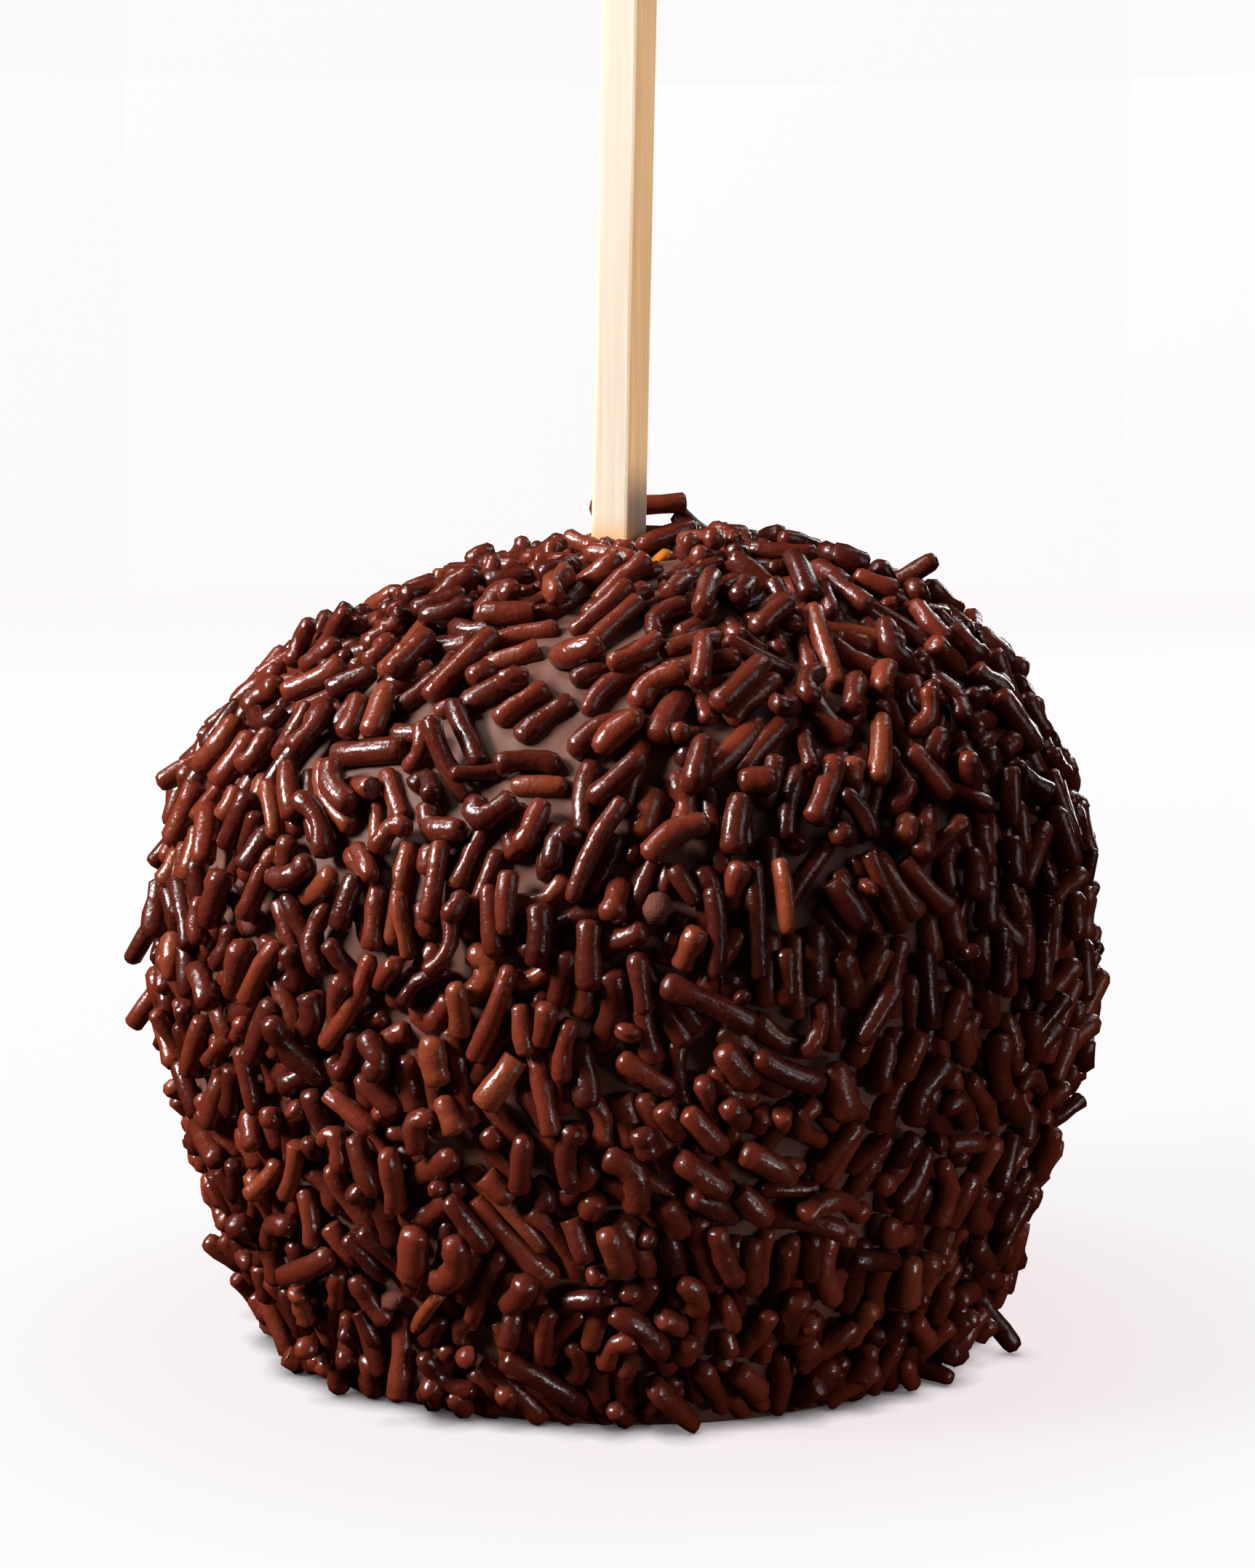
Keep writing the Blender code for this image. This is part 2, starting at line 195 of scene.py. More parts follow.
def caramel():
    """Soft caramel: clear amber, deeper where it is thick, with a wet gloss."""
    finish, shader, place = new_finish("soft caramel, glossy")
    depth = add(finish, "TexNoise", {"Vector": place, "Scale": 1 / (4 * MM), "Detail": 2})
    tint = add(finish, "ValToRGB", {"Fac": depth.outputs["Fac"]})
    tint.color_ramp.elements[0].position = 0.35
    tint.color_ramp.elements[0].color = linear(0x8A3F0C)
    tint.color_ramp.elements[1].position = 0.7
    tint.color_ramp.elements[1].color = linear(0xB4661C)
    links = finish.node_tree.links
    links.new(tint.outputs["Color"], shader.inputs["Base Color"])
    shader.inputs["Roughness"].default_value = 0.14
    shader.inputs["Subsurface Weight"].default_value = 0.3
    shader.inputs["Subsurface Radius"].default_value = (1, 0.4, 0.1)
    shader.inputs["Subsurface Scale"].default_value = 1 * MM
    return finish


def pool_profile():
    """The pool's outline in section, from its floor at the stick, out to its rim, and back on top."""
    level = CROWN_HEIGHT - POOL_RIM_DROP
    profile = [(share * POOL_RADIUS, level - POOL_DEPTH * (1 - rise)) for share, rise in POOL_DISH]
    inner = STICK_SIDE / 2
    for reach in np.linspace(POOL_RADIUS, inner, POOL_RINGS)[1:]:
        profile.append((reach, level + POOL_CLIMB * math.exp((inner - reach) / POOL_FADE)))
    return profile


bm = bmesh.new()
points = [bm.verts.new((reach, 0, height)) for reach, height in pool_profile()]
sides = [bm.edges.new(pair) for pair in zip(points, points[1:] + points[:1])]
bmesh.ops.spin(
    bm, geom=points + sides, cent=(0, 0, 0), axis=(0, 0, 1), angle=2 * math.pi,
    steps=POOL_SIDES, use_merge=True,
)
bmesh.ops.remove_doubles(bm, verts=bm.verts, dist=0.01 * MM)
bmesh.ops.translate(bm, vec=(STICK_X, 0, 0), verts=bm.verts)
for vertex in bm.verts:
    if vertex.co.z > CROWN_HEIGHT - 2 * POOL_RIM_DROP:
        away = math.hypot(vertex.co.x - LUMP_X, vertex.co.y - LUMP_Y)
        vertex.co.z += LUMP_HEIGHT * math.exp(-(away / LUMP_WIDTH) ** 2)
bmesh.ops.recalc_face_normals(bm, faces=bm.faces)
pool = new_piece("caramel_round_stick", bm, caramel())
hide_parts("caramel_pool")

# ---------------------------------------------------------------- the layer of sprinkles
# Chocolate vermicelli: a cocoa and sugar paste pressed through a plate, broken up as it dried and
# tumbled in confectioner's glaze. Each is a rod with rounded ends, and few are quite straight. The
# fruit was rolled in them while its coat was wet: most lie flat in it, and others across those.
SEED = 71
LARGEST_COUNT = 276
SPREAD_BAND = 0.985          # of the waist's height, above and below it, that they are spread over
SPREAD_JITTER = 0.06         # radians, round the fruit
SPRINKLE_RADIUS = (0.82 * MM, 1.05 * MM)
SPRINKLE_HALF = (2.4 * MM, 3.6 * MM)   # from the middle to where an end starts to round
SINK = 0.5 * MM              # how deep one sits in the coat
LEANING_SINK = 0.3 * MM      # and how much deeper one that stands on its end is set
TOUCH = 1.8                  # radii between the centre lines of two that cross, a little pressed together
BALLS = 7                    # a sprinkle is measured and drawn as this many rings along its line
MOST_RISE = 2.3 * MM         # of a middle above the coat, over which one would lie on too big a pile
HEADING_SPREAD = 32          # degrees, either way from the usual heading
LEANING_SHARE = 0.12         # of the largest, which stick up by LEAN_RANGE
LEAN_RANGE = (12, 32)        # degrees
BOW_SPREAD = 0.12            # of the half length
SLANTING_FROM = 36 * MM      # the height from which they slant, more and more over the next stretch
SLANTING_OVER = 24 * MM
FRONT_SLANT = 62             # degrees, at the front and the back
RIGHT_SLANT = 45             # and the other way, on the right
GOLDEN_ANGLE = math.pi * (3 - math.sqrt(5))
GAP = 0.3 * MM               # between the largest and the pool, and under the lowest of all
HALVINGS = 30                # until a ray meets the coat at the height that is asked for
LINE_POINTS = 61             # of a turning line, before it is thinned to one for each ball
NEARBY = 3 * MM              # past the ends of a sprinkle, and no other one that matters lies beyond

# Sprinkles that break the outline: azimuth, height, heading, lean, half length and bow.
# A heading of 90 points up the coat, and the lean lifts that end clear of it.
STANDING_OUT = (
    (184, 34.0, -88, 39, 4.3, 0.2),
    (186, 41.0, -84, 30, 4.7, 1.2),
    (189, 55.0, -78, 34, 3.6, 0.2),
    (190, 48.5, -80, 30, 2.8, 0.3),
    (187, 70.5, -90, 30, 2.5, 0.1),
    (200, 71.3, 90, 62, 1.5, 0.0),
    (222, 72.2, 80, 62, 1.5, 0.0),
    (232, 73.6, 90, 62, 1.6, 0.0),
    (350, 71.5, -90, 60, 2.6, 0.1),
    (350, 65.5, -90, 12, 2.4, 0.2),
    (350, 61.0, -70, 45, 1.3, 0.0),
    (349, 44.5, -60, 52, 1.4, 0.0),
    (349, 38.0, 60, 55, 1.4, 0.0),
    (195, 9.0, 90, 24, 3.0, 0.4),
    (213, 3.4, -90, 8, 2.0, 0.0),
    (237, 6.5, -90, 32, 3.5, 0.1),
    (262, 9.5, 60, 6, 3.4, 0.3),
    (343, 2.8, -90, 55, 3.2, 0.0),
    (325, 1.2, -90, 100, 1.6, 0.0),
    (95, 44.0, 85, 26, 3.4, 0.3),
    (56, 74.4, 10, 38, 4.0, 0.0),
    (88, 74.0, 170, 62, 2.7, 0.0),
    (80, 74.4, -24, 1, 4.4, 0.1),
)


def coat_spot(azimuth, height):
    """The coat's point at an azimuth and a height, and its normal. The ray's slope is found by halving."""
    round_z = np.array((math.cos(azimuth), math.sin(azimuth), 0))
    low, high = -0.5 * math.pi, 0.5 * math.pi
    for _ in range(HALVINGS):
        middle = (low + high) / 2
        ray = math.cos(middle) * round_z + np.array((0, 0, math.sin(middle)))
        point = HEART + ray * coat_reach(ray)
        low, high = (middle, high) if point[2] < height else (low, middle)
    return point, unit(clearance_slopes(point))


def bowed_line(half, bow):
    """A gently bowed rod's centre line: distances along its chord, and off it."""
    along = np.linspace(-half, half, BALLS)
    return along, bow * (1 - (along / half) ** 2)


def turned_line(half, turn, share, width):
    """A rod that turns by an angle at a share of its length, over a share of it as wide as width."""
    steps = np.linspace(0, 1, LINE_POINTS)
    angles = turn * np.clip((steps - share) / width + 0.5, 0, 1)
    middle = angles[len(steps) // 2]
    x = np.cumsum(np.cos(angles - middle)) * 2 * half / len(steps)
    y = np.cumsum(np.sin(angles - middle)) * 2 * half / len(steps)
    x, y = (np.interp(np.linspace(0, 1, BALLS), steps, way) for way in (x, y))
    return x - (x[0] + x[-1]) / 2, y - (y.min() + y.max()) / 2


def least_tilt(along, needed, settle):
    """The tilt of each line that clears all needed heights and is lowest at the middle.

    It is the one nearest to level, or with settle the nearest at which an end comes to rest too.
    """
    middle = BALLS // 2
    back, front = along[:middle], along[middle + 1:]
    low_back, low_front = needed[:, :middle], needed[:, middle + 1:]
    spans = low_back[..., None] * front - low_front[:, None] * back[:, None]
    height = np.maximum((spans / (front - back[:, None])).max(axis=(1, 2)), needed[:, middle])
    least = ((low_front - height[:, None]) / front).max(axis=1)
    most = ((height[:, None] - low_back) / -back).min(axis=1)
    if settle:
        return np.arctan(np.where(abs(least) < abs(most), least, most))
    return np.arctan(np.clip(0, least, most))


class SprinkleBed:
    """The sprinkles laid so far, and where the next one comes to rest."""

    def __init__(self):
        self.balls = np.empty((0, BALLS, 3))
        self.axes = np.empty((0, 3))
        self.ups = []
        self.radii = []
        self.kinds = []

    def needed(self, lines, normal, radius):
        """How far each ball of each line must move along normal to lie on the coat and its neighbours."""
        steepness = np.linalg.norm(clearance_slopes(lines), axis=-1)
        needed = radius - SINK - clearance(lines) / steepness
        middle = lines.mean(axis=(0, 1))
        reach = np.linalg.norm(lines - middle, axis=-1).max() + 2 * radius + NEARBY
        near = self.balls.reshape(-1, 3)
        near = near[((near - middle) ** 2).sum(axis=1) < reach ** 2]
        if len(near):
            offsets = near - lines[..., None, :]
            rise = offsets @ normal
            room = (TOUCH * radius) ** 2 - (offsets ** 2).sum(-1) + rise ** 2
            over = np.where(room > 0, rise + np.sqrt(np.maximum(room, 0)), -1)
            needed = np.maximum(needed, over.max(axis=-1))
        return needed

    def settle(self, spots, normal, headings, lean, line, radius, settle=True):
        """How one sprinkle would rest over each spot: its rises, tilts, axes, upward sides and balls."""
        along, off = line
        east = unit(np.cross((0, 0, 1), normal))
        ahead = np.cos(headings)[:, None] * east + np.sin(headings)[:, None] * np.cross(normal, east)
        aside = np.cross(normal, ahead)
        bowed = off[:, None] * aside[:, None]
        level = spots[:, None] + along[:, None] * ahead[:, None] + bowed
        if lean:
            tilt = np.full(len(spots), lean)
        else:
            tilt = least_tilt(along, self.needed(level, normal, radius), settle)
        axes = np.cos(tilt)[:, None] * ahead + np.sin(tilt)[:, None] * normal
        shape = along[:, None] * axes[:, None] + bowed
        rises = self.needed(spots[:, None] + shape, normal, radius).max(axis=1)
        rises = rises - (LEANING_SINK if lean else 0)
        balls = (spots + rises[:, None] * normal)[:, None] + shape
        balls[..., 2] += np.maximum(0, radius - balls[..., 2].min(axis=1))[:, None]
        return rises, tilt, axes, np.cross(axes, aside), balls

    def keep(self, axis, up, balls, radius, kind):
        """Adds a sprinkle that has come to rest."""
        self.balls = np.concatenate((self.balls, balls[None]))
        self.axes = np.vstack((self.axes, axis))
        self.ups.append(up)
        self.radii.append(radius)
        self.kinds.append(kind)


def usual_heading(spot):
    """The way that most lie at a spot: up the coat, but slanting on the upper front and right."""
    azimuth = math.atan2(spot[1], spot[0])
    rise = np.clip((spot[2] - SLANTING_FROM) / SLANTING_OVER, 0, 1)
    slant = FRONT_SLANT * math.sin(azimuth) ** 2 - RIGHT_SLANT * max(0, math.cos(azimuth))
    return math.radians(90 - rise * slant)


def lay_clear(bed, spot, normal, heading, lean, half, radius, bow, most_rise=math.inf):
    """Lays one of the largest, unless it lies too high or reaches into the pool of caramel."""
    line = bowed_line(half, bow)
    rests = bed.settle(spot[None], normal, np.array([heading]), lean, line, radius, settle=False)
    rise, _, axis, up, balls = (part[0] for part in rests)
    from_stick = np.hypot(balls[:, 0] - STICK_X, balls[:, 1]).min()
    if from_stick >= POOL_RADIUS + radius + GAP and rise <= most_rise:
        bed.keep(axis, up, balls, radius, "long")


def lay_largest(bed, rng):
    """The sprinkles that the solid has too: those that break the outline, and the largest of the rest."""
    for azimuth, height, heading, lean, half, bow in STANDING_OUT:
        spot, normal = coat_spot(math.radians(azimuth), height * MM)
        radius = rng.uniform(*SPRINKLE_RADIUS)
        lay_clear(bed, spot, normal, math.radians(heading), math.radians(lean), half * MM, radius, bow * MM)
    spread = LARGEST_COUNT - len(STANDING_OUT)
    for number in range(spread):
        askew = math.radians(rng.normal(0, HEADING_SPREAD))
        lean = math.radians(rng.uniform(*LEAN_RANGE)) if rng.random() < LEANING_SHARE else 0
        half = rng.uniform(*SPRINKLE_HALF)
        radius = rng.uniform(*SPRINKLE_RADIUS)
        share = 1 - 2 * (number + 0.5) / spread
        height = WAIST_HEIGHT * (1 + SPREAD_BAND * share)
        height = max(height, half * abs(math.cos(askew)) + radius)
        spot, normal = coat_spot(number * GOLDEN_ANGLE + rng.normal(0, SPREAD_JITTER), height)
        heading = usual_heading(spot) + askew
        lay_clear(bed, spot, normal, heading, lean, half, radius, rng.normal(0, BOW_SPREAD) * half, MOST_RISE)


# The rest of them. A pair is a usual size and its spread, or a range. Radii and half lengths are in
# millimetres and turns in degrees. A bend lies at a share of the length, and is a share of it wide.
KINDS = ("straight", "curved", "hooked", "stub", "broken", "crumb")
KIND_SHARES = (0.592, 0.2, 0.05, 0.07, 0.08, 0.008)
RADIUS, RADIUS_RANGE = (1, 0.1), (0.74, 1.2)
STRAIGHT_HALF, STRAIGHT_RANGE = (2.6, 0.85), (1.0, 4.6)
STRAIGHT_BOW = 0.05          # the spread, as a share of the half length
STUB_RANGE = (0.15, 0.8)
CURVED_RANGE, CURVED_TURN = (1.9, 3.6), (25, 80)
CURVED_PLACE, CURVED_WIDTH = (0.4, 0.6), (0.5, 1)
HOOKED_RANGE, HOOKED_TURN = (2.1, 3.2), (80, 150)
HOOKED_PLACES, HOOKED_WIDTH = (0.3, 0.7), (0.3, 0.5)


def draw_kind(rng):
    """A kind of sprinkle, with its centre line, half length and radius."""
    kind = rng.choice(KINDS, p=KIND_SHARES)
    radius = np.clip(rng.normal(*RADIUS), *RADIUS_RANGE) * MM
    if kind in ("stub", "crumb"):
        half = rng.uniform(*STUB_RANGE) * MM
        return kind, bowed_line(half, 0), half, radius
    if kind == "curved":
        half = rng.uniform(*CURVED_RANGE) * MM
        turn = math.radians(rng.uniform(*CURVED_TURN)) * rng.choice((-1, 1))
        line = turned_line(half, turn, rng.uniform(*CURVED_PLACE), rng.uniform(*CURVED_WIDTH))
        return kind, line, half, radius
    if kind == "hooked":
        half = rng.uniform(*HOOKED_RANGE) * MM
        turn = math.radians(rng.uniform(*HOOKED_TURN)) * rng.choice((-1, 1))
        line = turned_line(half, turn, rng.choice(HOOKED_PLACES), rng.uniform(*HOOKED_WIDTH))
        return kind, line, half, radius
    half = np.clip(rng.normal(*STRAIGHT_HALF), *STRAIGHT_RANGE) * MM
    return kind, bowed_line(half, rng.normal(0, STRAIGHT_BOW) * half), half, radius


# Where the rolling left the coat bare, on the upper front: the middle and the widths of each patch in
# millimetres, and the share of its middle that stayed bare.
BARE_PATCHES = (((-8, -34, 63), (27, 26, 16), 0.95), ((-3, -26, 69), (13, 10, math.inf), 0.977))
LEAST_BARE = 0.1


def bareness(spot):
    """The share of the coat round a spot that the rolling left bare."""
    shares = [LEAST_BARE]
    for middle, widths, most in BARE_PATCHES:
        off = (spot - np.array(middle) * MM) / (np.array(widths) * MM)
        shares.append(most * math.exp(-(off ** 2).sum()))
    return max(shares)


PROBES = 14000               # which puts them about 1.3 mm apart
STICK_ROOM = 3.4 * MM        # round the stick's axis, that has none
COVER_REACH = 6 * MM         # from a sprinkle's middle, beyond which it covers nothing
COVER_WIDTH = 1.05           # radii either side of its line


class Probes:
    """Points spread evenly over the coat, which tell where it is still bare."""

    def __init__(self, count):
        level = 1 - 2 * (np.arange(count) + 0.5) / count
        turn = np.arange(count) * GOLDEN_ANGLE
        across = np.sqrt(1 - level ** 2)
        rays = np.stack((across * np.cos(turn), across * np.sin(turn), level), -1)
        self.spots = HEART + rays * coat_reach(rays)[:, None]
        self.normals = unit(clearance_slopes(self.spots))
        from_stick = np.hypot(self.spots[:, 0] - STICK_X, self.spots[:, 1])
        above_foot = self.spots[:, 2] > GAP
        self.open = above_foot & ((from_stick > STICK_ROOM) | (self.spots[:, 2] < WAIST_HEIGHT))
        self.bare = self.open.copy()

    def cover(self, balls, radius):
        """Marks the points under a sprinkle."""
        near = np.flatnonzero(self.bare)
        near = near[np.abs(self.spots[near] - balls[BALLS // 2]).max(axis=1) < COVER_REACH]
        offsets = balls - self.spots[near][:, None]
        rise = np.einsum("ijk,ik->ij", offsets, self.normals[near])
        aside = (offsets ** 2).sum(-1) - rise ** 2
        self.bare[near[(aside < (COVER_WIDTH * radius) ** 2).any(axis=1)]] = False


STICK_TURN = math.radians(-26)         # about its own axis
STICK_LEAN = 0.02                      # towards +X, for each unit of height
STICK_TOUCH = 0.9                      # radii between the wood and the line of one that rests on it
PATCH_X, PATCH_Y = 4.2 * MM, -5.4 * MM     # the caramel that shows, from where the stick leaves the fruit
PATCH_HALF = 1.2 * MM
PATCH_SLIMNESS = 0.7                   # its width as a share of its length from front to back
SIGHT_X = 3.9 * MM                     # the gap in front of it, through which it shows
SIGHT_FROM, SIGHT_TO = -20 * MM, -4 * MM
SIGHT_DEPTH = 0.4 * MM                 # above the crown


def clear_of_stick(balls, radius):
    """Whether sprinkles miss the stick, the patch of caramel that shows, and the gap in front of it."""
    x, y, z = np.moveaxis(balls - np.array((STICK_X, 0, CROWN_HEIGHT)), -1, 0)
    x = x - STICK_LEAN * z
    along = x * math.cos(STICK_TURN) + y * math.sin(STICK_TURN)
    off = y * math.cos(STICK_TURN) - x * math.sin(STICK_TURN)
    across = np.maximum(abs(along), abs(off)).min(axis=-1)
    patch = np.hypot(x - PATCH_X, (y - PATCH_Y) * PATCH_SLIMNESS).min(axis=-1)
    before = (abs(x - SIGHT_X) < PATCH_HALF + radius) & (y > SIGHT_FROM) & (y < SIGHT_TO)
    before = before & (z + radius > SIGHT_DEPTH)
    misses = (across > STICK_SIDE / 2 + STICK_TOUCH * radius) & (patch > PATCH_HALF + radius)
    return misses & ~before.any(axis=-1)


# Passes over the coat: how many headings are tried at a point, the most rise in millimetres and the
# most tilt in degrees, the share of its length that a sprinkle has, and its lean in degrees.
PASSES = ((6, 0.2, 12, 1, 0), (9, 1.1, 32, 1, 0), (12, 1.8, 42, 0.8, 0))
# On top of those come some long ones that lie across the rest, and some that stand on end.
PASSES_ON_TOP = ((5, 2.3, 35, 1.2, 0), (5, 2.6, 50, 1, 30))
ON_TOP_SHARE = 0.02          # of all points
SHIFT = 0.7                  # half lengths along itself, either way from the point
ALIKE = 3                    # one try in so many lies beside its neighbour
ALIKE_SPREAD = 9             # degrees


def fill(bed, probes, rng, tries, most_rise, most_tilt, share, lean):
    """Tries a sprinkle over each point still bare, in a random order, and keeps those that lie low."""
    for pick in rng.permutation(np.flatnonzero(probes.bare)):
        spot, normal = probes.spots[pick], probes.normals[pick]
        if not probes.bare[pick]:
            continue
        kind, line, half, radius = draw_kind(rng)
        line = (line[0] * share, line[1] * share)
        if rng.random() < bareness(spot):
            continue
        east = unit(np.cross((0, 0, 1), normal))
        north = np.cross(normal, east)
        nearest = np.argmin(((bed.balls[:, BALLS // 2] - spot) ** 2).sum(axis=1))
        beside = math.atan2(bed.axes[nearest] @ north, bed.axes[nearest] @ east)
        headings = usual_heading(spot) + np.radians(rng.normal(0, HEADING_SPREAD, tries))
        headings[::ALIKE] = beside + np.radians(rng.normal(0, ALIKE_SPREAD, len(headings[::ALIKE])))
        shifts = rng.uniform(-SHIFT, SHIFT, tries) * half
        ahead = np.cos(headings)[:, None] * east + np.sin(headings)[:, None] * north
        rises, tilts, axes, ups, balls = bed.settle(
            spot + shifts[:, None] * ahead, normal, headings, math.radians(lean), line, radius
        )
        low = (rises < radius - SINK + most_rise * MM) & (abs(tilts) < math.radians(most_tilt))
        fits = low & clear_of_stick(balls, radius)
        if not fits.any():
            continue
        best = np.argmin(np.where(fits, rises, math.inf))
        bed.keep(axes[best], ups[best], balls[best], radius, kind)
        probes.cover(balls[best], radius)


bed = SprinkleBed()
lay_largest(bed, np.random.default_rng(SEED))
probes = Probes(PROBES)
for balls, radius in zip(bed.balls, bed.radii):
    probes.cover(balls, radius)
rng = np.random.default_rng(SEED + 1)
for limits in PASSES:
    fill(bed, probes, rng, *limits)
for limits in PASSES_ON_TOP:
    probes.bare = probes.open & (rng.random(PROBES) < ON_TOP_SHARE)
    fill(bed, probes, rng, *limits)

# A sprinkle's mesh is a rod, with one ring past each end and a tip. What varies is a share of 1.
ROD_SIDES = 8
ROD_RINGS = {"stub": 3, "crumb": 3, "straight": 4, "long": 5, "broken": 4, "curved": 7, "hooked": 7}
END_GIRTHS = (1, 0.74, 0)    # of a ring on the rod, of the one past its end, and of the tip
END_REACHES = (0, 0.55, 0.78)    # and how far past the end those are, in radii
BLUNTNESS = (0.5, 1.15)      # the range that this varies over
THICKER = 1.04               # than the bed's, to close the gaps where they touch
SWELL = 0.075
FLATNESS = 0.07
LUMPINESS = 0.04
CRUMB_LUMPINESS = 0.13
BROKEN_REACH = 0.1           # the broken end is nearly flat, and its edge stands out
BROKEN_EDGE = 1.25


class Rod:
    """A rod's faces, and for each of its points the ring, thickness, reach past the end and way round."""

    def __init__(self, rings):
        bm = bmesh.new()
        bmesh.ops.create_uvsphere(bm, u_segments=ROD_SIDES, v_segments=rings + 3, radius=1)
        points = np.array([vertex.co for vertex in bm.verts])
        faces = [[vertex.index for vertex in face.verts] for face in bm.faces]
        bm.free()
        self.quads = np.array([face for face in faces if len(face) == 4])
        self.caps = np.array([face for face in faces if len(face) == 3])
        polar = np.arccos(np.clip(points[:, 2], -1, 1))
        level = np.rint((1 - polar / math.pi) * (rings + 3)).astype(int)
        past = np.maximum(2 - level, level - rings - 1)
        self.ring = np.clip(level - 2, 0, rings - 1)
        self.girth = np.array(END_GIRTHS)[np.clip(past, 0, 2)]
        self.beyond = np.array(END_REACHES)[np.clip(past, 0, 2)] * np.where(level < 2, -1, 1)
        self.round = np.arctan2(points[:, 1], points[:, 0])
        self.rings = rings


def rods_mesh(name, rod, lines, ups, radii, rng):
    """One mesh of many rods. lines holds each one's ring centres, and ups its upward side."""
    tangents = unit(np.gradient(lines, axis=1))
    sides = unit(np.cross(ups[:, None], tangents))
    uppers = np.cross(tangents, sides)
    count = len(lines)
    swell = 1 + SWELL * rng.normal(size=(count, rod.rings))
    turn = rng.uniform(0, 2 * math.pi, size=(count, 1)) + rod.round
    flat = 1 + FLATNESS * rng.normal(size=(count, 1))
    lumpiness = CRUMB_LUMPINESS if name == "crumb" else LUMPINESS
    uneven = 1 + lumpiness * rng.normal(size=(count, len(rod.ring)))
    girth = THICKER * rod.girth * radii[:, None] * swell[:, rod.ring] * uneven
    back, front = rng.uniform(*BLUNTNESS, size=(count, 1)), rng.uniform(*BLUNTNESS, size=(count, 1))
    blunt = np.where(rod.beyond < 0, back, front)
    if name == "broken":
        blunt = np.where(rod.beyond < 0, blunt, BROKEN_REACH)
        girth = np.where(rod.beyond <= 0, girth, girth * BROKEN_EDGE)
    points = (
        lines[:, rod.ring]
        + (rod.beyond * radii[:, None] * blunt)[..., None] * tangents[:, rod.ring]
        + (girth * np.cos(turn) * flat)[..., None] * sides[:, rod.ring]
        + (girth * np.sin(turn) / flat)[..., None] * uppers[:, rod.ring]
    )
    points[..., 2] = np.maximum(points[..., 2], 0)
    firsts = (np.arange(count) * len(rod.ring))[:, None, None]
    quads, caps = (rod.quads + firsts).reshape(-1, 4), (rod.caps + firsts).reshape(-1, 3)
    mesh = bpy.data.meshes.new(name)
    mesh.from_pydata(points.reshape(-1, 3), [], quads.tolist() + caps.tolist())
    tone = mesh.attributes.new("tone", "FLOAT", "POINT")
    tone.data.foreach_set("value", np.repeat(rng.random(count), len(rod.ring)))
    mesh.shade_smooth()
    return mesh


def glazed_sprinkle():
    """Dark chocolate under confectioner's glaze: deep red-brown, with a gloss broken up by dimples."""
    finish, shader, place = new_finish("dark chocolate, tumbled in glaze")
    tone = add(finish, "Attribute", {}, attribute_name="tone")
    tint = add(finish, "ValToRGB", {"Fac": tone.outputs["Fac"]})
    tint.color_ramp.elements[0].color = linear(0x38110A)
    tint.color_ramp.elements[1].position = 0.9
    tint.color_ramp.elements[1].color = linear(0x672818)
    tint.color_ramp.elements.new(1).color = linear(0x71331D)
    patches = add(finish, "TexNoise", {"Vector": place, "Scale": 1 / (0.8 * MM), "Detail": 3})
    gloss = add(finish, "MapRange", {
        "Value": patches.outputs["Fac"], "From Min": 0.35, "From Max": 0.7, "To Min": 0.17, "To Max": 0.36,
    })
    dimples = add(finish, "TexNoise", {"Vector": place, "Scale": 1 / (0.55 * MM), "Detail": 3})
    bump = add(finish, "Bump", {"Height": dimples.outputs["Fac"], "Strength": 0.7, "Distance": 0.12 * MM})
    links = finish.node_tree.links
    links.new(tint.outputs["Color"], shader.inputs["Base Color"])
    links.new(gloss.outputs["Result"], shader.inputs["Roughness"])
    links.new(bump.outputs["Normal"], shader.inputs["Normal"])
    shader.inputs["IOR"].default_value = 1.42
    return finish


def broken_chocolate():
    """A crumb of the same paste without its glaze: matt, dusty and paler."""
    finish, shader, place = new_finish("dark chocolate, broken")
    grain = add(finish, "TexNoise", {"Vector": place, "Scale": 1 / (0.25 * MM), "Detail": 4})
    tint = add(finish, "ValToRGB", {"Fac": grain.outputs["Fac"]})
    tint.color_ramp.elements[0].color = linear(0x43201A)
    tint.color_ramp.elements[1].color = linear(0x683528)
    bump = add(finish, "Bump", {"Height": grain.outputs["Fac"], "Strength": 1, "Distance": 0.15 * MM})
    links = finish.node_tree.links
    links.new(tint.outputs["Color"], shader.inputs["Base Color"])
    links.new(bump.outputs["Normal"], shader.inputs["Normal"])
    shader.inputs["Roughness"].default_value = 0.8
    shader.inputs["Specular IOR Level"].default_value = 0.2
    return finish


glaze = glazed_sprinkle()
crumbs = broken_chocolate()
kinds = np.array(bed.kinds)
for kind in ("long",) + KINDS:
    chosen = np.flatnonzero(kinds == kind)
    rod = Rod(ROD_RINGS[kind])
    places = np.linspace(0, BALLS - 1, rod.rings)
    before = np.minimum(places.astype(int), BALLS - 2)
    share = (places - before)[:, None]
    lines = bed.balls[chosen][:, before] * (1 - share) + bed.balls[chosen][:, before + 1] * share
    mesh = rods_mesh(kind, rod, lines, np.array(bed.ups)[chosen], np.array(bed.radii)[chosen], rng)
    mesh.materials.append(crumbs if kind == "crumb" else glaze)
    piece = bpy.data.objects.new(kind + "_sprinkles", mesh)
    bpy.context.scene.collection.objects.link(piece)
    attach(piece, "root")

